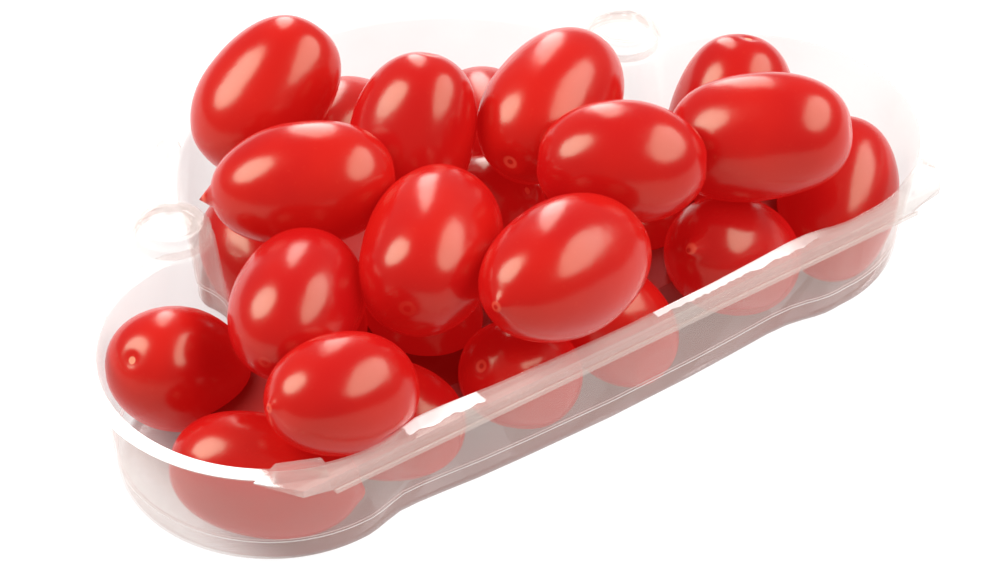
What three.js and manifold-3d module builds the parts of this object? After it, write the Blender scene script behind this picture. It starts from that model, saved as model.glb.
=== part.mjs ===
// A clear thermoformed punnet, three rounded lobes in one sheet, heaped with plum cherry tomatoes.
// Millimetres, +Z up. X runs along the straight hinge side at the front, Y to the back lobe.
import * as THREE from 'three';
import { mergeVertices } from 'three/addons/utils/BufferGeometryUtils.js';
import Module from 'manifold-3d';

const wasm = await Module();
wasm.setup();

// ---- Tray: driving dimensions --------------------------------------------------------------
const RIM_Z = 29;              // top of the flange above the surface the tray stands on
const SHEET = 0.7;             // thickness of the formed sheet
const SIDE_X = 63.6;           // side lobes: centres at x = +-SIDE_X, y = 0
const SIDE_R = 34.9;           // inner rim radius of the side lobes
const BACK_Y = 24.5;           // back lobe: centre at x = 0
const BACK_R = 58;             // inner rim radius of the back lobe
const NOSE = { x: 59.5, y: 42, r: 8.7 };  // column in the notch between side and back lobe
const NOSE_FILLET = 8;         // radius that leads from a lobe into the column
const DRAFT = 3;               // how far the wall leans in, rim to crease
const CREASE_DROP = 22.3;      // rim to crease
const CREASE_STEP = 0.5;       // little ledge at the crease
const FOOT_R = 2.4;            // rounding into the floor
const FOOT_DROP = RIM_Z - SHEET - FOOT_R;    // rim to where that rounding begins
// The front wall bows out between two uneven necks beside the side lobes: x, how far it is drawn in.
const FRONT = [
  [-61, 0], [-57.5, 0.6], [-54.5, 1.4], [-51.5, 2.1], [-48, 2.1], [-42, 1.7], [-34, 1], [-22, 0.5], [0, 0],
  [22, 0.4], [34, 1], [44, 1.6], [48.5, 1.5], [51.5, 1], [54.5, 0.3], [58, -0.2], [61, -0.2],
];
const FLANGE = 3.6;            // width of the flat flange

const STRIP = { x: 82, y: 38.4, cornerX: 88.5, cornerY: 30.5, backY: 30 };  // straight hinge strip
const LIP = { drop: 3.2, thick: 0.7, taper: 7, bead: 0.6 };                 // its turned-down edge
const LUG = { x: 79.8, y: 33.4, turn: 24, length: 12, width: 4.8, height: 2.4, bevel: 1.1 };
const BUTTON = { skirtR: 8.3, shoulderZ: 2.4, topR: 7, height: 4.2, ringR: 5.2, dimpleZ: 3.3, plateR: 10.8 };
const LATCH = { angle: 51, spread: 7, width: 5.4, reach: 2.4, height: 1.4 };

// ---- Tomatoes: driving dimensions ----------------------------------------------------------
const GAP = 0.3;               // clearance between the heap and the tray
const PRESS = 0.5;             // how far neighbours press into each other, so that they fuse
const WALL_PRESS = 0.3;        // the same against the wall, cut away again by the clearance
const CHAIN = 5;               // spheres that stand for a tomato while the heap is laid
const SIDES = 16;              // sides and rings of one tomato
const RINGS = 9;
const CORE_INSET = 17;         // the core keeps this far inside the rim line
const CORE_BOTTOM_Z = 8;
const CORE_TOP_Z = 15;

// One row a tomato, from the floor up: x, y, heading and rise of its tip in degrees, length, width.
const TOMATOES = [
  [-37.4, 44.1, 82, 9, 32.5, 23.1],
  [-76.2, -15.7, -44, -7, 39.1, 25.1],
  [-47.5, -15.5, 128, 0, 35.3, 25.7],
  [-21.3, 5.9, -110, -17, 31.4, 24.9],
  [-16.2, -21.3, -172, 38, 31, 23],
  [72.1, 16.6, -47, 6, 33, 22.5],
  [-46.4, 13.2, -153, -25, 30.2, 23.6],
  [30.5, 8.1, 133, 20, 33, 24.9],
  [4.9, 24.2, 122, -42, 34.9, 25.6],
  [-0.9, 63.1, 32, -25, 41.1, 26.8],
  [26.3, 48.6, 60, -15, 37.2, 26.3],
  [8.8, -19.7, 132, 45, 32.1, 23.6],
  [73.7, -16, -139, -24, 38.4, 26.4],
  [41.7, -19, -163, 39, 39.4, 26.1],
  [-74.4, 17.3, 15, -40, 37.4, 26.3],
  [59.2, 4.2, -153, -68, 39.1, 27.5],
  [-22.8, 61.6, -173, -36, 37.2, 26.6],
  [-63, -23.8, 176, 13, 33.3, 24.5],
  [-55.4, 2.8, -144, 0, 37.2, 26.3],
  [-26, -2.9, -139, 4, 42.9, 28.3],
  [-7.9, 29.1, -148, -58, 38.3, 26.6],
  [22.1, 19.5, -153, -3, 42, 27.5],
  [-10.2, -26.3, -166, 10, 43, 28.2],
  [49, -16.7, 140, -11, 38.8, 27.2],
  [-37.3, 26.1, 150, -5, 38.7, 26.3],
  [17.4, -10, 141, 0, 35.7, 26.2],
];

const radians = THREE.MathUtils.degToRad;

// ---- Meshes and solids -----------------------------------------------------------------------
function toSolid(geometry) {
  const bare = geometry.clone();
  bare.deleteAttribute('normal');
  bare.deleteAttribute('uv');
  const merged = mergeVertices(bare, 1e-4);
  return new wasm.Manifold(new wasm.Mesh({
    numProp: 3,
    vertProperties: new Float32Array(merged.attributes.position.array),
    triVerts: new Uint32Array(merged.index.array),
  }));
}

function toGeometry(solid) {
  const mesh = solid.getMesh();
  const geometry = new THREE.BufferGeometry();
  geometry.setAttribute('position', new THREE.BufferAttribute(new Float32Array(mesh.vertProperties), 3));
  geometry.setIndex(new THREE.BufferAttribute(new Uint32Array(mesh.triVerts), 1));
  geometry.computeVertexNormals();
  return geometry;
}

// A closed body through rings of equal length, counterclockwise from above and listed upwards.
function loft(rings) {
  const count = rings[0].length;
  const index = [];
  for (let k = 0; k + 1 < rings.length; k += 1) {
    for (let i = 0; i < count; i += 1) {
      const a = k * count + i;
      const b = k * count + (i + 1) % count;
      index.push(a, b, b + count, a, b + count, a + count);
    }
  }
  const cap = (ring) => THREE.ShapeUtils.triangulateShape(ring.map((p) => new THREE.Vector2(p.x, p.y)), []);
  const top = (rings.length - 1) * count;
  for (const [a, b, c] of cap(rings[0])) index.push(a, c, b);
  for (const [a, b, c] of cap(rings.at(-1))) index.push(top + a, top + b, top + c);
  const geometry = new THREE.BufferGeometry().setFromPoints(rings.flat());
  geometry.setIndex(index);
  return toSolid(geometry);
}

// A flat shape between two heights.
function slab(points, low, high) {
  const shape = new THREE.Shape(points.map(([x, y]) => new THREE.Vector2(x, y)));
  const geometry = new THREE.ExtrudeGeometry(shape, { depth: high - low, bevelEnabled: false });
  return toSolid(geometry.translate(0, 0, low));
}

const mirrored = (solid) => solid.add(solid.mirror([1, 0, 0]));

// ---- Rim line ----------------------------------------------------------------------------------
// Where a circle round a (radius ra) meets one round b (radius rb), on the given side of a -> b.
function meet(a, ra, b, rb, side) {
  const gap = b.clone().sub(a);
  const along = (ra * ra - rb * rb + gap.lengthSq()) / (2 * gap.length());
  const across = side * Math.sqrt(ra * ra - along * along);
  const unit = gap.normalize();
  return new THREE.Vector2(a.x + along * unit.x - across * unit.y, a.y + along * unit.y + across * unit.x);
}

// The right half of the rim line as arcs, front to back. A hollow arc turns round the column.
function rimArcs() {
  const side = new THREE.Vector2(SIDE_X, 0);
  const back = new THREE.Vector2(0, BACK_Y);
  const nose = new THREE.Vector2(NOSE.x, NOSE.y);
  const first = meet(side, SIDE_R - NOSE_FILLET, nose, NOSE.r + NOSE_FILLET, -1);
  const second = meet(back, BACK_R - NOSE_FILLET, nose, NOSE.r + NOSE_FILLET, 1);
  const angle = (from, to) => to.clone().sub(from).angle();
  const full = 2 * Math.PI;
  return [
    { centre: side, r: SIDE_R, from: -Math.PI / 2, to: angle(side, first), steps: 22 },
    { centre: first, r: NOSE_FILLET, from: angle(side, first), to: angle(first, nose), steps: 4 },
    {
      centre: nose, r: NOSE.r, hollow: true, steps: 9,
      from: angle(nose, first) - full, to: angle(nose, second) - full,
    },
    { centre: second, r: NOSE_FILLET, from: angle(second, nose) - full, to: angle(back, second), steps: 4 },
    { centre: back, r: BACK_R, from: angle(back, second), to: Math.PI / 2, steps: 14 },
  ];
}

// How far the front wall is drawn in at x.
function drawnIn(x) {
  const next = FRONT.findIndex(([at]) => at >= x);
  if (next < 1) return 0;
  const [[fromX, from], [toX, to]] = FRONT.slice(next - 1, next + 1);
  return THREE.MathUtils.mapLinear(x, fromX, toX, from, to);
}

// The rim line moved inwards by inset, at height z.
function outline(inset, z) {
  const front = FRONT.map(([x, drawn]) => new THREE.Vector3(x, inset - SIDE_R + drawn, z));
  const right = [];
  for (const arc of rimArcs()) {
    const r = arc.r + (arc.hollow ? inset : -inset);
    let sweep = arc.to - arc.from;
    if (!arc.hollow && sweep < 0) sweep += 2 * Math.PI;
    for (let k = 0; k < arc.steps; k += 1) {
      const t = arc.from + sweep * k / arc.steps;
      right.push(new THREE.Vector3(arc.centre.x + r * Math.cos(t), arc.centre.y + r * Math.sin(t), z));
    }
  }
  const left = right.map((p) => new THREE.Vector3(-p.x, p.y, p.z)).reverse();
  return [...front, ...right, new THREE.Vector3(0, BACK_Y + BACK_R - inset, z), ...left];
}

// ---- Wall profile --------------------------------------------------------------------------------
// Inset of the wall's inner face at a depth below the rim.
function wallInset(depth) {
  const straight = DRAFT * THREE.MathUtils.clamp(depth / CREASE_DROP, 0, 1);
  const low = THREE.MathUtils.clamp(depth - FOOT_DROP, 0, FOOT_R);
  const foot = FOOT_R - Math.sqrt(FOOT_R ** 2 - low ** 2);
  return straight + (depth > CREASE_DROP ? CREASE_STEP : 0) + foot;
}

// Rings of a wall face, floor to rim. The outer face lies one sheet out and down from the inner one.
function wallRings(out, drop, topZ) {
  const rings = [];
  for (const turn of [90, 45, 0]) {
    const depth = FOOT_DROP + FOOT_R * Math.sin(radians(turn));
    const inset = DRAFT + CREASE_STEP + FOOT_R * (1 - Math.cos(radians(turn)));
    rings.push(outline(inset - out, RIM_Z - depth - drop));
  }
  rings.push(outline(DRAFT + CREASE_STEP - out, RIM_Z - CREASE_DROP - drop));
  const ledge = 0.98 * (CREASE_DROP + drop);
  rings.push(outline(DRAFT * 0.98 - out, RIM_Z - ledge));
  rings.push(outline(-out, topZ));
  return rings;
}

function cavity(clearance, topZ) {
  const rings = wallRings(-clearance, -clearance, RIM_Z);
  const last = outline(clearance, topZ);
  return loft([...rings, last]);
}

// ---- Tray ----------------------------------------------------------------------------------------
function formedSheet() {
  const rings = wallRings(SHEET, SHEET, RIM_Z - SHEET);
  const under = outline(-FLANGE, RIM_Z - SHEET);
  const edge = outline(-FLANGE, RIM_Z);
  return loft([...rings, under, edge]);
}

// The straight strip where the lid was hinged: pointed corners and a turned-down lip with a bead.
function hingeStrip() {
  const { x, y, cornerX, cornerY, backY } = STRIP;
  const corners = [[-x, -y], [x, -y], [cornerX, -cornerY], [x, -backY], [-x, -backY], [-cornerX, -cornerY]];
  const plate = slab(corners, RIM_Z - SHEET, RIM_Z);
  const low = x - LIP.taper;
  const edge = slab([[-x, 0], [-low, -LIP.drop], [low, -LIP.drop], [x, 0]], 0, LIP.thick);
  const over = LIP.bead - LIP.drop;
  const line = [[-low, -LIP.drop], [low, -LIP.drop], [low, over], [-low, over]];
  const bead = slab(line, -LIP.bead, LIP.thick / 2);
  return plate.add(edge.add(bead).rotate([90, 0, 0]).translate([0, -y + LIP.thick, RIM_Z]));
}

// A long raised lug with bevelled ends and flanks, on each front corner of the flange.
function snapLug() {
  const ring = (inset, z) => {
    const a = LUG.length / 2 - inset;
    const b = LUG.width / 2 - inset;
    const point = a - b;
    return [[-a, 0], [-point, -b], [point, -b], [a, 0], [point, b], [-point, b]]
      .map(([px, py]) => new THREE.Vector3(px, py, z));
  };
  const body = loft([ring(0, -SHEET), ring(0, 0.4), ring(LUG.bevel, LUG.height)]);
  return body.rotate([0, 0, LUG.turn]).translate([LUG.x, -LUG.y, RIM_Z]);
}

// The round button that stands over the column: skirt, shoulder, flat ring and a dimple, open below.
function buttonShell() {
  const { skirtR, shoulderZ, topR, height, ringR, dimpleZ } = BUTTON;
  const wall = SHEET + 0.1;
  const profile = [
    [0, dimpleZ], [ringR - 1, dimpleZ], [ringR, height], [topR, height], [topR + 0.4, shoulderZ + 0.6],
    [skirtR, shoulderZ], [skirtR, -SHEET], [skirtR - wall, -SHEET], [skirtR - wall, shoulderZ - 0.4],
    [topR - 0.3, shoulderZ + 0.2], [topR - wall, height - wall], [ringR + 0.6, height - wall],
    [ringR - 0.3, dimpleZ - wall], [0, dimpleZ - wall],
  ].reverse();
  const lathe = new THREE.LatheGeometry(profile.map(([r, z]) => new THREE.Vector2(r, z)), 24);
  return toSolid(lathe.rotateX(Math.PI / 2)).translate([NOSE.x, NOSE.y, RIM_Z]);
}

function circle(x, y, r, steps = 24) {
  const at = (k) => 2 * Math.PI * k / steps;
  return Array.from({ length: steps }, (_, k) => [x + r * Math.cos(at(k)), y + r * Math.sin(at(k))]);
}

// Two rounded humps on the back flange, where the lid's latch would close.
function latchHumps() {
  const humps = [-1, 1].map((end) => {
    const a = radians(LATCH.angle + end * LATCH.spread);
    const r = BACK_R + FLANGE + LATCH.reach - LATCH.width / 2;
    const round = circle(r * Math.cos(a), BACK_Y + r * Math.sin(a), LATCH.width / 2, 14);
    return slab(round, RIM_Z - SHEET, RIM_Z + LATCH.height);
  });
  return humps[0].add(humps[1]);
}

function makeTray() {
  const plate = slab(circle(NOSE.x, NOSE.y, BUTTON.plateR), RIM_Z - SHEET, RIM_Z);
  const hole = slab(circle(NOSE.x, NOSE.y, BUTTON.skirtR - SHEET), RIM_Z - 2 * SHEET, RIM_Z + SHEET);
  let tray = formedSheet().add(mirrored(plate)).add(hingeStrip());
  tray = tray.subtract(cavity(0, RIM_Z + 3)).subtract(mirrored(hole));
  return tray.add(mirrored(buttonShell())).add(mirrored(snapLug())).add(mirrored(latchHumps()));
}

// ---- Tomatoes --------------------------------------------------------------------------------------
// Distance from a point to the rim line, positive inside the tray.
function room(x, y) {
  const front = y < 0 ? drawnIn(x) : 0;
  const side = SIDE_R - front - Math.hypot(Math.max(0, Math.abs(x) - SIDE_X), y);
  const back = BACK_R - Math.hypot(x, y - BACK_Y);
  const nose = Math.hypot(Math.abs(x) - NOSE.x, y - NOSE.y) - NOSE.r;
  return Math.min(Math.max(side, back), nose);
}

function heading([, , turn, rise]) {
  const [a, b] = [radians(turn), radians(rise)];
  return new THREE.Vector3(Math.cos(a) * Math.cos(b), Math.sin(a) * Math.cos(b), Math.sin(b));
}

// Spheres inside the tomato, side by side along its axis, with their height above its middle.
function spheresOf(tomato) {
  const [x, y, , , length, width] = tomato;
  const [a, b] = [length / 2, width / 2];
  const spare = a * a - b * b;
  const axis = heading(tomato);
  return Array.from({ length: CHAIN }, (_, k) => {
    const t = -1 + 2 * k / (CHAIN - 1);
    const s = t * spare / a;
    const r = b * Math.sqrt(1 - t * t * spare / (a * a));
    return { x: x + s * axis.x, y: y + s * axis.y, z: s * axis.z, r };
  });
}

// True while a sphere presses too far into the wall or the rim.
function hitsWall({ x, y, r }, z) {
  const depth = RIM_Z - z;
  const space = room(x, y);
  if (depth > 0) return r - (space - wallInset(depth)) > WALL_PRESS;
  return space > 0 ? r - Math.hypot(space, depth) > WALL_PRESS : r + depth > WALL_PRESS;
}

// Height of a tomato's middle when it is lowered until it touches the floor, the wall or a neighbour.
function restingHeight(spheres, laid) {
  let z = Math.max(...spheres.map((s) => SHEET + GAP + s.r - s.z));
  for (const s of spheres) {
    for (const other of laid) {
      const reach = s.r + other.r - PRESS;
      const flat = Math.hypot(s.x - other.x, s.y - other.y);
      if (flat < reach) z = Math.max(z, other.z + Math.sqrt(reach * reach - flat * flat) - s.z);
    }
  }
  while (spheres.some((s) => hitsWall(s, z + s.z))) z += 0.2;
  return z;
}

// An egg-round body with few sides and a low point at the tip, along +X.
function tomatoSolid(length, width) {
  const profile = Array.from({ length: RINGS + 1 }, (_, k) => {
    const t = Math.PI * k / RINGS;
    return new THREE.Vector2(width / 2 * Math.sin(t) + 1e-9, -length / 2 * Math.cos(t));
  });
  profile[0].x = 0;
  profile[RINGS].x = 0;
  profile[RINGS].y += 0.8;
  return toSolid(new THREE.LatheGeometry(profile, SIDES).rotateZ(-Math.PI / 2));
}

function layHeap() {
  const laid = [];
  return TOMATOES.map((tomato) => {
    const [x, y, turn, rise, length, width] = tomato;
    const spheres = spheresOf(tomato);
    const z = restingHeight(spheres, laid);
    laid.push(...spheres.map((s) => ({ ...s, z: z + s.z })));
    return tomatoSolid(length, width).rotate([0, -rise, 0]).rotate([0, 0, turn]).translate([x, y, z]);
  });
}

// What fills the middle of the heap, where no gap between the tomatoes shows.
function heapCore() {
  const side = SIDE_R - CORE_INSET;
  const bar = [[-SIDE_X, -side], [SIDE_X, -side], [SIDE_X, side], [-SIDE_X, side]];
  const rounds = [circle(SIDE_X, 0, side), circle(-SIDE_X, 0, side), circle(0, BACK_Y, BACK_R - CORE_INSET)];
  const flats = [bar, ...rounds];
  return wasm.Manifold.union(flats.map((points) => slab(points, CORE_BOTTOM_Z, CORE_TOP_Z)));
}

function makeHeap() {
  const heap = wasm.Manifold.union([heapCore(), ...layHeap()]);
  const above = loft([outline(-2 * FLANGE, RIM_Z + GAP), outline(-2 * FLANGE, 3 * RIM_Z)]);
  const inside = cavity(GAP, RIM_Z + 2 * GAP).add(above);
  const round = circle(NOSE.x, NOSE.y, BUTTON.skirtR + GAP);
  const button = slab(round, RIM_Z - SHEET, RIM_Z + BUTTON.height + GAP);
  return heap.intersect(inside).subtract(mirrored(button));
}

// ---- Scene graph -------------------------------------------------------------------------------------
function node(name, solid, material) {
  const mesh = new THREE.Mesh(toGeometry(solid), new THREE.MeshStandardMaterial(material));
  mesh.name = name;
  return mesh;
}

const punnet = new THREE.Group();
punnet.add(node('tray', makeTray(), {
  color: 0xf2f0ef, roughness: 0.08, metalness: 0, transparent: true, opacity: 0.35,
}));
punnet.add(node('tomatoes', makeHeap(), { color: 0xd31a12, roughness: 0.18, metalness: 0 }));

// The origin lies under the middle of the whole.
const middle = new THREE.Box3().setFromObject(punnet).getCenter(new THREE.Vector3());
punnet.position.set(-middle.x, -middle.y, 0);
punnet.updateMatrixWorld(true);

export default punnet;
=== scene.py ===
# A clear thermoformed punnet heaped with plum cherry tomatoes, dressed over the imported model.
# The tray and the tomatoes are modelled in millimetres and brought to metres when they are finished.
import math

import bmesh
import bpy
from mathutils import Matrix, Vector


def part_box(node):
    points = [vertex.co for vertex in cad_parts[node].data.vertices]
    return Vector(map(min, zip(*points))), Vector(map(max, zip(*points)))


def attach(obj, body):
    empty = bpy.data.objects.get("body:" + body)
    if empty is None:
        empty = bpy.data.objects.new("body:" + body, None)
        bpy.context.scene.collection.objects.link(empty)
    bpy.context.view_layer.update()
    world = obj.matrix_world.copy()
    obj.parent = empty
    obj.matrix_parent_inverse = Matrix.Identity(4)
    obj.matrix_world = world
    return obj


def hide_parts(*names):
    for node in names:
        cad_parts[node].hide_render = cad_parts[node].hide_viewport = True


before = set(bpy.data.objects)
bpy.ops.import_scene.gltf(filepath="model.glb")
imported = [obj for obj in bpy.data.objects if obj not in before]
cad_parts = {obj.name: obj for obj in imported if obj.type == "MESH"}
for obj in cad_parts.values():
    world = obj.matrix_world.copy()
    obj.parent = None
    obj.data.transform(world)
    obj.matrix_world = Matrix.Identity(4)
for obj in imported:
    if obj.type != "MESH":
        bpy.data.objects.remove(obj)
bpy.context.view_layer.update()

MM = 0.001

# ---- Tray sizes, as in the solids (millimetres, the middle between the side lobes at x = y = 0) ----
RIM_Z = 29
SIDE_X, SIDE_R = 63.6, 34.9
BACK_Y, BACK_R = 24.5, 58
NOSE_X, NOSE_Y, NOSE_R, NOSE_FILLET = 59.5, 42, 8.7, 8
DRAFT, CREASE_DEPTH, CREASE_STEP, FOOT_R = 3, 22.3, 0.5, 2.4
# The front wall bows out between two uneven necks: x, how far it is drawn in there.
FRONT = ((-61, 0), (-57.5, 0.6), (-54.5, 1.4), (-51.5, 2.1), (-48, 2.1), (-42, 1.7), (-34, 1), (-22, 0.5),
         (0, 0), (22, 0.4), (34, 1), (44, 1.6), (48.5, 1.5), (51.5, 1), (54.5, 0.3), (58, -0.2), (61, -0.2))
FLANGE = 3.6
FLARE = 0.18             # how far the flange slopes down to its edge
SKIN = 0.45              # thickness of the sheet that shows
BRIM = 0.8               # rounding from the flange into the wall
FLOOR_DEPTH = RIM_Z - SKIN
STRIP_X, STRIP_Y, STRIP_BACK_Y = 82, 38.4, 30
STRIP_CORNER = (88.5, 30.5)
LIP_DROP, LIP_TAPER, LIP_BEAD = 3.2, 7, 0.6
SHEET = 0.7              # thickness of the sheet in the solids
CAD_GAP = 0.3            # room between the sheet and the tomatoes in the solids
LUG_SIZE, LUG_Z, LUG_TURN, LUG_AT = (11.4, 4.8, 2.7), 1.05, 24, (79.8, -33.4)
HUMP_R, HUMP_HIGH, HUMP_SET_IN, HUMP_ANGLES = 2.7, 1.8, 0.3, (44, 58, 122, 136)
CORE_HIGH, CORE_X, CORE_Y, CORE_BACK_R, CORE_Z, CORE_BACK_Z = 7, 78, 18, 40, 11.5, 11.4
# The frame's origin lies under the middle of the whole.
SHIFT_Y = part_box("tray")[0].y / MM + SIDE_R + FLANGE - min(drawn for _, drawn in FRONT)

# ---- Tomatoes, in the order they were laid: x, y, heading and rise of the tip, length, width, form ----
TOMATOES = [
    (-37.4, 44.1, 82, 9, 32.5, 23.1, "plain"),
    (-76.2, -15.7, -44, -7, 39.1, 25.1, "point"),
    (-47.5, -15.5, 128, 0, 35.3, 25.7, "plain"),
    (-21.3, 5.9, -110, -17, 31.4, 24.9, "plain"),
    (-16.2, -21.3, -172, 38, 31, 23, "ring"),
    (72.1, 16.6, -47, 6, 33, 22.5, "plain"),
    (-46.4, 13.2, -153, -25, 30.2, 23.6, "plain"),
    (30.5, 8.1, 133, 20, 33, 24.9, "plain"),
    (4.9, 24.2, 122, -42, 34.9, 25.6, "plain"),
    (-0.9, 63.1, 32, -25, 41.1, 26.8, "plain"),
    (26.3, 48.6, 60, -15, 37.2, 26.3, "plain"),
    (8.8, -19.7, 132, 45, 32.1, 23.6, "plain"),
    (73.7, -16, -139, -24, 38.4, 26.4, "plain"),
    (41.7, -19, -163, 39, 39.4, 26.1, "curl"),
    (-74.4, 17.3, 15, -40, 37.4, 26.3, "plain"),
    (59.2, 4.2, -153, -68, 39.1, 27.5, "plain"),
    (-22.8, 61.6, -173, -36, 37.2, 26.6, "long"),
    (-63, -23.8, 176, 13, 33.3, 24.5, "point"),
    (-55.4, 2.8, -144, 0, 37.2, 26.3, "plain"),
    (-26, -2.9, -139, 4, 42.9, 28.3, "long"),
    (-7.9, 29.1, -148, -58, 38.3, 26.6, "plain"),
    (22.1, 19.5, -153, -3, 42, 27.5, "ring"),
    (-10.2, -26.3, -166, 10, 43, 28.2, "point"),
    (49, -16.7, 140, -11, 38.8, 27.2, "long"),
    (-37.3, 26.1, 150, -5, 38.7, 26.3, "nipple"),
    (17.4, -10, 141, 0, 35.7, 26.2, "ring"),
]
PRESS, WALL_PRESS = 0.5, 0.3   # how far a tomato gives against another one and against the wall
CHAIN, LIFT_STEP = 5, 0.2      # spheres that stand for a tomato, step of lifting it off the wall
# Room that the skin keeps from the sheet, and how far over the crease and over the rim it is pressed in.
TOUCH, LEDGE_REACH, RIM_REACH = 0.15, 1.2, 1.5


# ---- Hand tools ----
def take(piece):
    """Selects one piece alone."""
    bpy.ops.object.select_all(action="DESELECT")
    piece.select_set(True)
    bpy.context.view_layer.objects.active = piece


def open_mesh(piece):
    take(piece)
    bpy.ops.object.mode_set(mode="EDIT")
    bpy.ops.mesh.select_mode(type="VERT")


def close_mesh():
    bpy.ops.object.mode_set(mode="OBJECT")


def pick(test):
    """Selects the vertices whose place passes the test."""
    mesh = bpy.context.edit_object.data
    form = bmesh.from_edit_mesh(mesh)
    for part in (form.faces, form.edges, form.verts):
        for element in part:
            element.select_set(False)
    for v in form.verts:
        if test(v.co):
            v.select_set(True)
    form.select_flush(True)
    bmesh.update_edit_mesh(mesh)


def near(a, b, slack=0.02):
    return abs(a - b) < slack


def move(x=0, y=0, z=0, **more):
    bpy.ops.transform.translate(value=(x, y, z), **more)


def pull_out(x=0, y=0, z=0):
    bpy.ops.mesh.extrude_region_move(TRANSFORM_OT_translate={"value": (x, y, z)})


def apply_modifier(piece, kind, **settings):
    take(piece)
    made = piece.modifiers.new(kind.lower(), kind)
    for name, value in settings.items():
        setattr(made, name, value)
    bpy.ops.object.modifier_apply(modifier=made.name)


def fuse(piece, tool, operation="UNION"):
    apply_modifier(piece, "BOOLEAN", object=tool, operation=operation, solver="EXACT")
    bpy.data.objects.remove(tool)


def thicken(piece, thickness=SKIN):
    """Gives a sheet its thickness, away from its upper side."""
    apply_modifier(piece, "SOLIDIFY", thickness=thickness, offset=-1, use_even_offset=True)


def copy_of(piece):
    twin = piece.copy()
    twin.data = piece.data.copy()
    bpy.context.scene.collection.objects.link(twin)
    return twin


# ---- Rim line ----
def meet(a, ra, b, rb, side):
    """Where a circle round a meets one round b, on the given side of the line between them."""
    gap = b - a
    along = (ra * ra - rb * rb + gap.length_squared) / (2 * gap.length)
    across = side * math.sqrt(ra * ra - along * along)
    unit = gap.normalized()
    return a + along * unit + across * Vector((-unit.y, unit.x))


def rim_arcs():
    """Centre, turn and steps of the arcs of the right half, front to back."""
    side, back, nose = Vector((SIDE_X, 0)), Vector((0, BACK_Y)), Vector((NOSE_X, NOSE_Y))
    first = meet(side, SIDE_R - NOSE_FILLET, nose, NOSE_R + NOSE_FILLET, -1)
    second = meet(back, BACK_R - NOSE_FILLET, nose, NOSE_R + NOSE_FILLET, 1)

    def angle(start, end):
        return math.atan2(end.y - start.y, end.x - start.x)

    full = 2 * math.pi
    return [
        (side, (angle(side, first) + math.pi / 2) % full, 72),
        (first, (angle(first, nose) - angle(side, first)) % full, 9),
        (nose, -((angle(nose, first) - angle(nose, second)) % full), 26),
        (second, (angle(back, second) - angle(second, nose)) % full, 9),
        (back, (math.pi / 2 - angle(back, second)) % full, 36),
    ]


def drawn_in(x):
    """How far the front wall is drawn in at x."""
    for (start, low), (end, high) in zip(FRONT, FRONT[1:]):
        if start <= x <= end:
            return low + (high - low) * (x - start) / (end - start)
    return 0


def rim_face(name, out, z=RIM_Z):
    """A flat face inside the rim line, moved outwards by out: a point drawn along the front, then spun."""
    bpy.ops.mesh.primitive_plane_add(size=1, location=(0, 0, 0))
    face = bpy.context.object
    face.name = name
    open_mesh(face)
    bpy.ops.mesh.select_all(action="SELECT")
    bpy.ops.mesh.merge(type="CENTER")
    at, drawn = -SIDE_X, 0
    move(at, -SIDE_R - out, z)
    for x, next_drawn in (*FRONT, (SIDE_X, 0)):
        pull_out(x - at, next_drawn - drawn)
        at, drawn = x, next_drawn
    arcs = rim_arcs()
    left = [(Vector((-centre.x, centre.y)), turn, steps) for centre, turn, steps in reversed(arcs)]
    for centre, turn, steps in arcs + left:
        bpy.ops.mesh.spin(steps=steps, angle=turn, center=(centre.x, centre.y, z), axis=(0, 0, -1))
    bpy.ops.mesh.select_all(action="SELECT")
    bpy.ops.mesh.remove_doubles(threshold=0.01)
    bpy.ops.mesh.edge_face_add()
    close_mesh()
    if face.data.polygons[0].normal.z < 0:
        open_mesh(face)
        bpy.ops.mesh.select_all(action="SELECT")
        bpy.ops.mesh.flip_normals()
        close_mesh()
    return face


# ---- Tray ----
def wall_profile():
    """Inset and depth of the sheet's upper side, from the flange down to the floor."""
    line = [(-BRIM, 0)]
    for turn in (22, 45, 68, 90):
        a = math.radians(turn)
        depth = BRIM * (1 - math.cos(a))
        line.append((BRIM * (math.sin(a) - 1) + DRAFT * depth / CREASE_DEPTH, depth))
    for depth in (4, 8, 12, 16, 19.5, 21.6, CREASE_DEPTH):
        line.append((DRAFT * depth / CREASE_DEPTH, depth))
    line += [(DRAFT + 0.1, CREASE_DEPTH + 0.06), (DRAFT + CREASE_STEP - 0.1, CREASE_DEPTH + 0.09)]
    low = DRAFT + CREASE_STEP
    line += [(low, CREASE_DEPTH + 0.3), (low, FLOOR_DEPTH - FOOT_R)]
    for turn in (20, 40, 60, 78, 90):
        a = math.radians(turn)
        line.append((low + FOOT_R * (1 - math.cos(a)), FLOOR_DEPTH - FOOT_R * (1 - math.sin(a))))
    return line


def formed_sheet():
    sheet = rim_face("tray_sheet", FLANGE, RIM_Z - FLARE)
    open_mesh(sheet)
    bpy.ops.mesh.select_all(action="SELECT")
    inset, depth = -FLANGE, FLARE
    for next_inset, next_depth in wall_profile():
        bpy.ops.mesh.inset(thickness=next_inset - inset, depth=depth - next_depth, use_even_offset=True)
        inset, depth = next_inset, next_depth
    close_mesh()
    thicken(sheet)
    return sheet


def hole_plug(out):
    """A block over the inside of the tray, for cutting what reaches over it."""
    plug = rim_face("plug", out, RIM_Z - 5)
    open_mesh(plug)
    bpy.ops.mesh.select_all(action="SELECT")
    pull_out(z=10)
    bpy.ops.mesh.select_all(action="SELECT")
    bpy.ops.mesh.normals_make_consistent(inside=False)
    close_mesh()
    return plug


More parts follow.
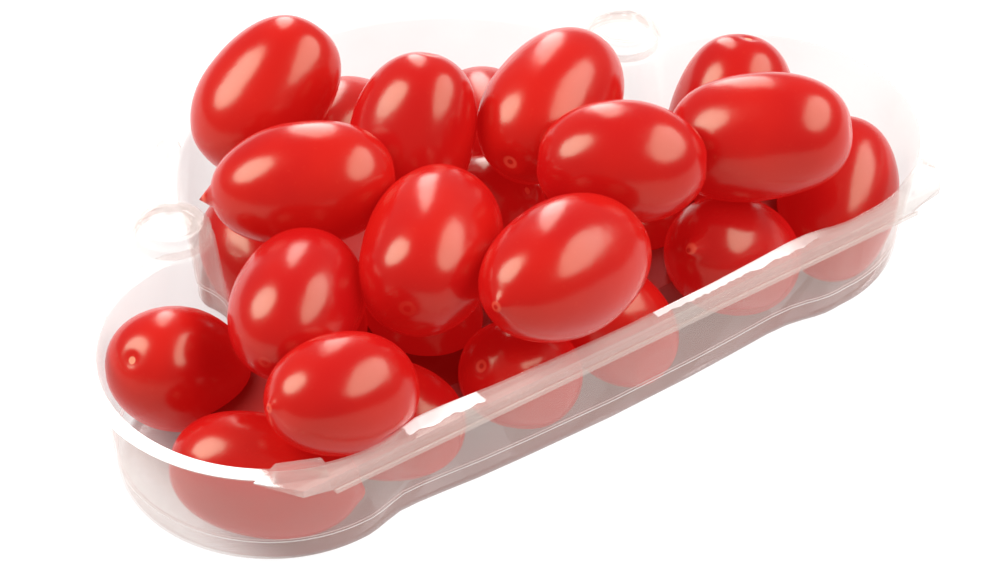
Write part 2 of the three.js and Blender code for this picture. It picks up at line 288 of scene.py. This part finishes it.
def hinge_strip():
    """The straight strip with pointed corners and its turned-down lip, which ends in a bead."""
    bpy.ops.mesh.primitive_plane_add(size=1, location=(0, 0, RIM_Z - 0.02))
    strip = bpy.context.object
    open_mesh(strip)
    bpy.ops.mesh.select_all(action="SELECT")
    bpy.ops.transform.resize(value=(2 * STRIP_X, STRIP_Y - STRIP_BACK_Y, 1))
    move(0, -(STRIP_Y + STRIP_BACK_Y) / 2)
    for side in (-1, 1):
        pick(lambda co: near(co.x, side * STRIP_X))
        bpy.ops.mesh.subdivide(number_cuts=1)
        pick(lambda co: near(co.x, side * STRIP_X) and near(co.y, -(STRIP_Y + STRIP_BACK_Y) / 2))
        move(side * (STRIP_CORNER[0] - STRIP_X), (STRIP_Y + STRIP_BACK_Y) / 2 - STRIP_CORNER[1])
    pick(lambda co: near(co.y, -STRIP_Y))
    pull_out(z=-LIP_DROP)
    bpy.ops.transform.resize(value=((STRIP_X - LIP_TAPER) / STRIP_X, 1, 1))
    pull_out(0, -LIP_BEAD, 0.1)
    pull_out(0, 0, LIP_BEAD)
    pick(lambda co: near(co.y, -STRIP_Y) and co.z > RIM_Z - 0.1)
    bpy.ops.mesh.bevel(offset=0.5, segments=3, affect="EDGES")
    bpy.ops.mesh.select_all(action="SELECT")
    bpy.ops.mesh.normals_make_consistent(inside=False)
    close_mesh()
    if max(strip.data.polygons, key=lambda p: p.area).normal.z < 0:
        open_mesh(strip)
        bpy.ops.mesh.select_all(action="SELECT")
        bpy.ops.mesh.flip_normals()
        close_mesh()
    thicken(strip)
    fuse(strip, hole_plug(1), "DIFFERENCE")
    return strip


def button(side):
    """The round button over a column: plate, skirt, shoulder, flat ring and a dimple of uneven outline."""
    profile = [(10.8, 0.02), (8.3, 0.02), (8.25, 2.2), (8.0, 2.5), (7.3, 2.9), (7.05, 3.3), (6.9, 4.0),
               (6.6, 4.2), (5.5, 4.2), (5.3, 4.1), (5.1, 3.5), (4.8, 3.3), (4.2, 3.25), (2, 3.25)]
    bpy.ops.mesh.primitive_plane_add(size=1, location=(0, 0, 0))
    cap = bpy.context.object
    open_mesh(cap)
    bpy.ops.mesh.select_all(action="SELECT")
    bpy.ops.mesh.merge(type="CENTER")
    r, z = profile[0]
    move(r, 0, RIM_Z + z)
    for next_r, next_z in profile[1:]:
        pull_out(next_r - r, 0, next_z - z)
        r, z = next_r, next_z
    bpy.ops.mesh.select_all(action="SELECT")
    bpy.ops.mesh.spin(steps=56, angle=2 * math.pi, center=(0, 0, RIM_Z), axis=(0, 0, 1))
    bpy.ops.mesh.select_all(action="SELECT")
    bpy.ops.mesh.remove_doubles(threshold=0.005)
    pick(lambda co: Vector((co.x, co.y)).length < 2.01)
    bpy.ops.mesh.edge_face_add()
    # The dimple's outline: a point to one side, a notch beside it.
    for turn, reach, size in ((142, 1.4, 3.4), (60, -1.3, 3.0), (-40, -0.7, 4.0), (100, 0.7, 2.6)):
        a = math.radians(turn) if side < 0 else math.pi - math.radians(turn)
        spot = Vector((5.1 * math.cos(a), 5.1 * math.sin(a)))
        pick(lambda co: 2.1 < math.hypot(co.x, co.y) < 5.2 and math.hypot(co.x - spot.x, co.y - spot.y) < 0.6)
        move(reach * math.cos(a) * 0.7, reach * math.sin(a) * 0.7, use_proportional_edit=True,
             proportional_edit_falloff="SMOOTH", proportional_size=size * 0.6)
    bpy.ops.mesh.select_all(action="SELECT")
    bpy.ops.mesh.normals_make_consistent(inside=False)
    close_mesh()
    if max(cap.data.polygons, key=lambda p: p.area).normal.z < 0:
        open_mesh(cap)
        bpy.ops.mesh.select_all(action="SELECT")
        bpy.ops.mesh.flip_normals()
        close_mesh()
    thicken(cap)
    cap.location = (side * NOSE_X, NOSE_Y, 0)
    bpy.ops.object.transform_apply(location=True, rotation=True, scale=True)
    fuse(cap, hole_plug(0.6), "DIFFERENCE")
    return cap


def snap_lug(side):
    """A long raised lug with bevelled ends and flanks and a shallow groove along its top."""
    bpy.ops.mesh.primitive_cube_add(size=1, location=(0, 0, 0))
    lug = bpy.context.object
    open_mesh(lug)
    bpy.ops.mesh.select_all(action="SELECT")
    bpy.ops.transform.resize(value=LUG_SIZE)
    move(z=LUG_Z)
    pick(lambda co: co.z > 1)
    bpy.ops.transform.resize(value=(0.8, 0.5, 1))
    bpy.ops.mesh.inset(thickness=0.45, depth=0, use_even_offset=True)
    move(z=-0.45)
    close_mesh()
    apply_modifier(lug, "BEVEL", width=0.35, segments=3, limit_method="ANGLE", angle_limit=math.radians(25))
    lug.rotation_euler = (0, 0, math.radians(LUG_TURN * side))
    lug.location = (side * LUG_AT[0], LUG_AT[1], RIM_Z)
    take(lug)
    bpy.ops.object.transform_apply(location=True, rotation=True, scale=True)
    return lug


def latch_hump(angle):
    a = math.radians(angle)
    r = BACK_R + FLANGE - HUMP_SET_IN
    bpy.ops.mesh.primitive_cylinder_add(vertices=28, radius=HUMP_R, depth=HUMP_HIGH,
                                        location=(r * math.cos(a), BACK_Y + r * math.sin(a), RIM_Z + 0.5))
    hump = bpy.context.object
    take(hump)
    bpy.ops.object.transform_apply(location=True, rotation=True, scale=True)
    open_mesh(hump)
    pick(lambda co: co.z > RIM_Z + 1)
    bpy.ops.mesh.bevel(offset=0.6, segments=3, affect="EDGES")
    close_mesh()
    return hump


def make_tray():
    tray = formed_sheet()
    fuse(tray, hinge_strip())
    for side in (-1, 1):
        fuse(tray, button(side))
        fuse(tray, snap_lug(side))
    for angle in HUMP_ANGLES:
        fuse(tray, latch_hump(angle))
    return tray


# ---- Tomatoes ----
def room(x, y):
    """Distance from a point to the rim line, positive inside the tray."""
    front = drawn_in(x) if y < 0 else 0
    side = SIDE_R - front - math.hypot(max(0, abs(x) - SIDE_X), y)
    back = BACK_R - math.hypot(x, y - BACK_Y)
    nose = math.hypot(abs(x) - NOSE_X, y - NOSE_Y) - NOSE_R
    return min(max(side, back), nose)


def wall_inset(depth):
    """How far the wall of the solid lies inside the rim line at a depth."""
    straight = DRAFT * min(max(depth / CREASE_DEPTH, 0), 1)
    low = min(max(depth - RIM_Z + SHEET + FOOT_R, 0), FOOT_R)
    step = CREASE_STEP if depth > CREASE_DEPTH else 0
    return straight + step + FOOT_R - math.sqrt(FOOT_R ** 2 - low ** 2)


def spheres_of(x, y, heading, rise, length, width):
    """Spheres that fill a tomato's oval: place, height over its middle and radius of each."""
    a, b = length / 2, width / 2
    spare = a * a - b * b
    turn, lift = math.radians(heading), math.radians(rise)
    axis = Vector((math.cos(turn) * math.cos(lift), math.sin(turn) * math.cos(lift), math.sin(lift)))
    row = []
    for k in range(CHAIN):
        t = -1 + 2 * k / (CHAIN - 1)
        s = t * spare / a
        row.append((x + s * axis.x, y + s * axis.y, s * axis.z, b * math.sqrt(1 - t * t * spare / (a * a))))
    return row


def hits_wall(x, y, r, z):
    """Whether a sphere reaches further into the wall or the rim than it may."""
    depth = RIM_Z - z
    space = room(x, y)
    if depth > 0:
        return r - (space - wall_inset(depth)) > WALL_PRESS
    return (r - math.hypot(space, depth) if space > 0 else r + depth) > WALL_PRESS


def resting_height(row, laid):
    """Height of a tomato's middle when it is lowered until it touches the floor, the wall or a neighbour."""
    z = max(SHEET + CAD_GAP + r - dz for _, _, dz, r in row)
    for x, y, dz, r in row:
        for ox, oy, oz, other in laid:
            reach, flat = r + other - PRESS, math.hypot(x - ox, y - oy)
            if flat < reach:
                z = max(z, oz + math.sqrt(reach * reach - flat * flat) - dz)
    while any(hits_wall(x, y, r, z + dz) for x, y, dz, r in row):
        z += LIFT_STEP
    return z


FORM_LENGTH, FORM_WIDTH = 37, 26
RINGS, SEGMENTS = 36, 44
FORM_LIFT = 100          # keeps finished rings clear of those still to be shaped
DENT_DEEP, DENT_WIDE = 0.6, 2.6
SWELL_SIZE, SWELL_MIDDLE = 17, 0.7
# Bluntness, taper towards the tip, how far the tip stands out, how wide it is, how far it leans, how
# marked it is.
FORMS = {
    "plain": (2.18, 0.02, 0.2, 2.6, 0, 0.2),
    "long": (2.35, -0.02, 0.2, 3.0, 0, 0.2),
    "point": (2.1, 0.06, 1.0, 3.2, 0.3, 0.7),
    "ring": (2.2, 0.0, -0.5, 3.2, 0, 1),
    "nipple": (2.15, 0.05, 2.3, 2.4, 0.5, 0.9),
    "curl": (2.15, 0.02, 2.0, 2.8, 1.6, 0.9),
}


def tomato_form(name):
    """One tomato with its tip up: a sphere drawn out ring by ring, with a tip and a dent for the stem."""
    blunt, taper, tip, tip_width, lean, _ = FORMS[name]
    bpy.ops.mesh.primitive_uv_sphere_add(segments=SEGMENTS, ring_count=RINGS, radius=1)
    form = bpy.context.object
    open_mesh(form)
    for k in range(RINGS + 1):
        t = math.pi * k / RINGS
        was_r, was_z = math.sin(t), -math.cos(t)
        pick(lambda co: near(co.z, was_z, 0.0004))
        r = FORM_WIDTH / 2 * abs(math.sin(t)) ** (2 / blunt) * (1 - taper * was_z)
        z = FORM_LENGTH / 2 * math.copysign(abs(math.cos(t)) ** (2 / blunt), was_z)
        if 0 < k < RINGS:
            bpy.ops.transform.resize(value=(r / was_r, r / was_r, 1), center_override=(0, 0, was_z))
        move(z=z - was_z + FORM_LIFT)
    bpy.ops.mesh.select_all(action="SELECT")
    move(z=-FORM_LIFT)
    top = FORM_LENGTH / 2
    pick(lambda co: co.z > top - 0.02)
    move(lean, 0, tip, use_proportional_edit=True, proportional_edit_falloff="SMOOTH",
         proportional_size=tip_width)
    pick(lambda co: co.z < 0.02 - top)
    move(z=DENT_DEEP, use_proportional_edit=True, proportional_edit_falloff="SMOOTH",
         proportional_size=DENT_WIDE)
    close_mesh()
    return form


def press_in(tomato):
    """Flattens a tomato's skin where it would reach into the sheet."""
    for v in tomato.data.vertices:
        v.co.z = max(v.co.z, SHEET + TOUCH)
        x, y, depth = v.co.x, v.co.y, RIM_Z - v.co.z
        spare = room(x, y) - wall_inset(depth + LEDGE_REACH) - TOUCH + max(0, -depth)
        if spare < 0 and depth > -RIM_REACH:
            inward = Vector((room(x + TOUCH, y) - room(x - TOUCH, y),
                             room(x, y + TOUCH) - room(x, y - TOUCH), 0))
            v.co -= spare * inward.normalized()


def lay_tomatoes():
    """The tomatoes at their places, each a copy of its form with an uneven skin, joined into one piece."""
    forms = {name: tomato_form(name) for name in FORMS}
    swell = bpy.data.textures.new("swell", "CLOUDS")
    swell.noise_scale, swell.noise_depth = SWELL_SIZE, 0
    laid, pieces = [], []
    for number, (x, y, heading, rise, length, width, name) in enumerate(TOMATOES):
        row = spheres_of(x, y, heading, rise, length, width)
        z = resting_height(row, laid)
        laid += [(sx, sy, z + dz, r) for sx, sy, dz, r in row]
        tomato = copy_of(forms[name])
        roll = Matrix.Rotation(number * 2.4, 4, "Z")
        size = Matrix.Diagonal((width / FORM_WIDTH, width / FORM_WIDTH, length / FORM_LENGTH, 1))
        lean = Matrix.Rotation(math.radians(90 - rise), 4, "Y")
        turned = Matrix.Rotation(math.radians(heading), 4, "Z")
        tomato.matrix_world = Matrix.Translation((x, y, z)) @ turned @ lean @ roll @ size
        take(tomato)
        bpy.ops.object.transform_apply(location=True, rotation=True, scale=True)
        apply_modifier(tomato, "DISPLACE", texture=swell, strength=1.0, mid_level=SWELL_MIDDLE,
                       texture_coords="LOCAL")
        press_in(tomato)
        for attribute, value in (("tone", (number * 0.618) % 1), ("marked", FORMS[name][-1])):
            layer = tomato.data.attributes.new(attribute, "FLOAT", "POINT")
            layer.data.foreach_set("value", [value] * len(tomato.data.vertices))
        pieces.append(tomato)
    for form in forms.values():
        bpy.data.objects.remove(form)
    take(pieces[0])
    for tomato in pieces:
        tomato.select_set(True)
    bpy.ops.object.join()
    return pieces[0]


def heap_core():
    """What fills the middle of the heap, under the tomatoes that show."""
    bpy.ops.mesh.primitive_cylinder_add(vertices=64, radius=1, depth=CORE_HIGH, location=(0, 0, 0))
    core = bpy.context.object
    open_mesh(core)
    bpy.ops.mesh.select_all(action="SELECT")
    bpy.ops.transform.resize(value=(CORE_X, CORE_Y, 1))
    move(z=CORE_Z)
    close_mesh()
    bpy.ops.mesh.primitive_cylinder_add(vertices=64, radius=CORE_BACK_R, depth=CORE_HIGH,
                                        location=(0, BACK_Y, CORE_BACK_Z))
    fuse(core, bpy.context.object)
    apply_modifier(core, "BEVEL", width=2.5, segments=4, limit_method="ANGLE", angle_limit=math.radians(40))
    return core


# ---- Looks ----
class Wire:
    """An output of a node; arithmetic on it adds Math nodes."""

    def __init__(self, look, socket):
        self.look, self.socket = look, socket

    def maths(self, operation, *values):
        return self.look.node("ShaderNodeMath", {"operation": operation}, dict(enumerate(values)))

    def __add__(self, other):
        return self.maths("ADD", self, other)

    def __sub__(self, other):
        return self.maths("SUBTRACT", self, other)

    def __rsub__(self, other):
        return self.maths("SUBTRACT", other, self)

    def __mul__(self, other):
        return self.maths("MULTIPLY", self, other)

    def __pow__(self, other):
        return self.maths("POWER", self, other)

    __radd__, __rmul__ = __add__, __mul__


class Look:
    """A material: its shader's fixed values, and wires into what changes over the surface."""

    def __init__(self, name, **fixed):
        self.material = bpy.data.materials.new(name)
        self.material.use_nodes = True
        self.tree = self.material.node_tree
        self.shader = self.tree.nodes["Principled BSDF"]
        for socket, value in fixed.items():
            self.shader.inputs[socket.replace("_", " ")].default_value = value

    def node(self, kind, settings=None, values=None, out=0):
        made = self.tree.nodes.new(kind)
        for name, value in (settings or {}).items():
            setattr(made, name, value)
        for name, value in (values or {}).items():
            self.join(value, made.inputs[name])
        return Wire(self, made.outputs[out])

    def join(self, value, socket):
        if isinstance(value, Wire):
            self.tree.links.new(value.socket, socket)
        elif socket.type == "RGBA":
            socket.default_value = (*value, 1)
        else:
            socket.default_value = value

    def feed(self, **wires):
        for name, wire in wires.items():
            self.join(wire, self.shader.inputs[name.replace("_", " ")])

    def place(self):
        return self.node("ShaderNodeTexCoord", out="Object")

    def noise(self, place, scale, detail=2.0):
        return self.node("ShaderNodeTexNoise", None, {"Vector": place, "Scale": scale, "Detail": detail})

    def blend(self, factor, a, b):
        return self.node("ShaderNodeMix", {"data_type": "RGBA"}, {0: factor, 6: a, 7: b}, out=2)

    def ramp(self, value, low, high):
        """0 at low, 1 at high, smooth between."""
        return self.node("ShaderNodeMapRange", {"interpolation_type": "SMOOTHSTEP"},
                         {"Value": value, "From Min": low, "From Max": high})

    def bump(self, height, distance, strength=1.0):
        return self.node("ShaderNodeBump", None,
                         {"Height": height, "Distance": distance, "Strength": strength})


DEEP_RED, FULL_RED = (0.235, 0.0025, 0.003), (0.29, 0.005, 0.003)
INSIDE_DARK, INSIDE_LIGHT = (0.30, 0.008, 0.005), (0.48, 0.014, 0.008)
# CLEAR_SHEET is the sheet's own tint. The glint white is a painted highlight on the flange, the strip's inner
# edge and the crease. HEAP_SHADE is painted shade and reflection of the heap on the base.
CLEAR_SHEET, PAINTED_GLINT_WHITE, HEAP_SHADE = (0.60, 0.52, 0.47), (0.93, 0.92, 0.90), (0.22, 0.04, 0.045)


def tomato_look():
    # Painted light: the skin glows a little red of its own (the emission), standing in for light passing
    # through the flesh and lifting its shaded sides.
    look = Look("tomato_skin", IOR=1.42, Specular_Tint=(0.8, 1, 0.72, 1),
                Emission_Color=(0.235, 0.002, 0.002, 1), Emission_Strength=1)
    place = look.place()
    tone = look.node("ShaderNodeAttribute", {"attribute_name": "tone"}, out="Fac")
    marked = look.node("ShaderNodeAttribute", {"attribute_name": "marked"}, out="Fac")
    along = look.node("ShaderNodeSeparateXYZ", None, {0: look.node("ShaderNodeTexCoord", out="UV")}, out="Y")
    cloudy = look.noise(place, 55)
    red = look.blend(look.ramp(cloudy + tone * 0.25, 0.35, 0.85), DEEP_RED, FULL_RED)
    speckle = look.ramp(look.noise(place, 900, 1.0), 0.68, 0.76)
    red = look.blend(speckle * 0.04, red, (0.5, 0.08, 0.03))
    # The tip: a small pale ring round a brown spot. The stem end: a pale scar.
    ring = look.ramp(along, 0.966, 0.978) - look.ramp(along, 0.984, 0.992)
    red = look.blend(ring * marked * 0.6, red, (0.50, 0.11, 0.06))
    red = look.blend(look.ramp(along, 0.988, 0.995) * marked * 0.8, red, (0.16, 0.02, 0.01))
    scar = look.ramp(1 - along, 0.982, 0.988)
    red = look.blend(scar * 0.7, red, (0.55, 0.3, 0.17))
    skin = look.noise(place, 130, 2.0)
    look.feed(Base_Color=red, Roughness=0.19 + 0.06 * cloudy, Normal=look.bump(skin, 0.0004, 0.35))
    return look.material


def core_look():
    look = Look("heap_inside", Roughness=0.6)
    look.feed(Base_Color=look.blend(look.noise(look.place(), 90), INSIDE_DARK, INSIDE_LIGHT))
    return look.material


def plastic_look():
    # Painted light: the sheet glows faintly warm of its own (the emission), standing in for light passing
    # through it.
    look = Look("clear_plastic", Metallic=0.1, Roughness=0.1,
                Emission_Color=(0.08, 0.05, 0.045, 1), Emission_Strength=1)
    place = look.place()
    sides, along, height = (look.node("ShaderNodeSeparateXYZ", None, {0: place}, out=axis) for axis in "XYZ")
    across = look.node("ShaderNodeMath", {"operation": "ABSOLUTE"}, {0: sides})
    ragged = sides + 0.006 * look.noise(place, 220, 2.0)
    top = look.ramp(height, (RIM_Z - 0.5) * MM, (RIM_Z - 0.2) * MM)
    # Painted highlight: the flange round the ends and ragged patches along the strip's inner edge are painted
    # white and made less clear, standing in for the lights' glints on the sheet.
    ends = look.ramp(across, 0.084, 0.087) * (1 - look.ramp(along, 0.012, 0.03))
    glint_patches = (look.ramp(ragged, -0.054, -0.053) - look.ramp(ragged, -0.035, -0.034)
               + look.ramp(ragged, 0.009, 0.010) - look.ramp(ragged, 0.040, 0.060))
    uneven = along + 0.003 * look.noise(place, 260, 1.0)
    inner = (look.ramp(uneven, (SHIFT_Y - 35.6) * MM, (SHIFT_Y - 35.2) * MM)
             * (1 - look.ramp(along, -0.03, -0.02)))
    painted_glint = top * (ends + glint_patches * inner)
    strip = look.ramp(height, (RIM_Z - 3.8) * MM, (RIM_Z - 3.6) * MM) * (1 - look.ramp(
        along, (SHIFT_Y - 37) * MM, (SHIFT_Y - 36.5) * MM))
    # Painted highlight: a thin band at the crease is painted white and made less clear, standing in for the
    # light the crease catches.
    crease_z = (RIM_Z - CREASE_DEPTH) * MM
    crease_highlight = (look.ramp(height, crease_z - 0.0004, crease_z - 0.0002)
              - look.ramp(height, crease_z, crease_z + 0.0002))
    # The base lies in the shade of the heap, and mirrors it.
    shade = (1 - look.ramp(height, 0.0006, 0.0012)) * (1 - look.ramp(across, 0.074, 0.092))
    facing = look.node("ShaderNodeLayerWeight", None, {"Blend": 0.5}, out="Facing")
    haze = look.noise(place, 40, 2.0)
    # The colour turns to the painted glint white on the glints and on the crease highlight; the alpha makes
    # them less clear too.
    colour = look.blend(painted_glint + crease_highlight, CLEAR_SHEET, PAINTED_GLINT_WHITE)
    look.feed(Base_Color=look.blend(shade, colour, HEAP_SHADE),
              Alpha=(0.12 + 0.10 * haze + 0.2 * facing ** 3.0 + 0.12 * strip + 0.25 * crease_highlight + 0.7 * painted_glint
                     + 0.6 * shade),
              Normal=look.bump(look.noise(place, 60, 1.0), 0.001, 0.4))
    return look.material


def floor_look():
    look = Look("floor", Base_Color=(0.1, 0.1, 0.1, 1), Roughness=0.9)
    look.shader.inputs["Emission Color"].default_value = (1, 1, 1, 1)
    look.shader.inputs["Emission Strength"].default_value = 0.95
    return look.material


# ---- Finish and place ----
def hand_over(piece, name, node, material, smooth=30):
    """Brings a finished piece to metres and to the frame, names it, gives it its material and hides the
    imported node it stands in for.
    """
    piece.name = piece.data.name = name
    take(piece)
    piece.location = (0, SHIFT_Y * MM, 0)
    piece.scale = (MM, MM, MM)
    bpy.ops.object.transform_apply(location=True, rotation=True, scale=True)
    bpy.ops.object.shade_smooth_by_angle(angle=math.radians(smooth))
    piece.data.materials.clear()
    piece.data.materials.append(material)
    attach(piece, "root")
    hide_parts(node)


hand_over(make_tray(), "clear_tray", "tray", plastic_look())
hand_over(lay_tomatoes(), "tomato_heap", "tomatoes", tomato_look(), 60)
hand_over(heap_core(), "heap_core", "tomatoes", core_look())


# ---- Floor, light and camera ----
CAMERA_ANGLES = (-37.78, 39.45, 1.47)    # turn, height and roll
CAMERA_AIM, CAMERA_DISTANCE, CAMERA_LENS = (-12.92, -9.19), 838.08, 146.8


def photo_camera():
    """The photograph's camera, fitted to the tray's outline."""
    turn, height, roll = (math.radians(angle) for angle in CAMERA_ANGLES)
    aim = Vector((CAMERA_AIM[0], CAMERA_AIM[1] + SHIFT_Y, RIM_Z)) * MM
    level = math.cos(height)
    back = Vector((math.sin(turn) * level, -math.cos(turn) * level, math.sin(height)))
    right = Vector((math.cos(turn), math.sin(turn), 0))
    up = back.cross(right)
    across = math.cos(roll) * right + math.sin(roll) * up
    upright = math.cos(roll) * up - math.sin(roll) * right
    data = bpy.data.cameras.new("photo_camera")
    data.lens, data.sensor_width = CAMERA_LENS, 36
    data.clip_start, data.clip_end = 0.05, 50
    camera = bpy.data.objects.new("photo_camera", data)
    bpy.context.scene.collection.objects.link(camera)
    turned = Matrix((across, upright, back)).transposed().to_4x4()
    camera.matrix_world = Matrix.Translation(aim + back * CAMERA_DISTANCE * MM) @ turned
    bpy.context.scene.camera = camera


def softbox(name, turn, height, wide, tall, power):
    """A soft oval light a metre from the punnet, at a turn from +X and a height in degrees, facing it."""
    turn, height = math.radians(turn), math.radians(height)
    level = math.cos(height)
    toward = Vector((math.cos(turn) * level, math.sin(turn) * level, math.sin(height)))
    bpy.ops.object.light_add(type="AREA", location=toward)
    box = bpy.context.object
    box.name = name
    box.rotation_euler = toward.to_track_quat("Z", "Y").to_euler()
    box.data.shape, box.data.size, box.data.size_y, box.data.energy = "ELLIPSE", wide, tall, power


photo_camera()
softbox("back_left_softbox", 144, 46, 0.65, 0.75, 14)
softbox("front_softbox", -38, 46, 1.35, 0.65, 15)
softbox("back_right_strip", 58, 26, 0.26, 0.95, 3.8)

bpy.ops.mesh.primitive_plane_add(size=14, location=(0, 0, 0))
floor = bpy.context.object
floor.name = "floor"
floor.data.materials.append(floor_look())

world = bpy.data.worlds.new("studio")
world.use_nodes = True
world.node_tree.nodes["Background"].inputs["Color"].default_value = (1, 1, 1, 1)
world.node_tree.nodes["Background"].inputs["Strength"].default_value = 0.28
bpy.context.scene.world = world
bpy.context.scene.view_settings.view_transform = "Standard"
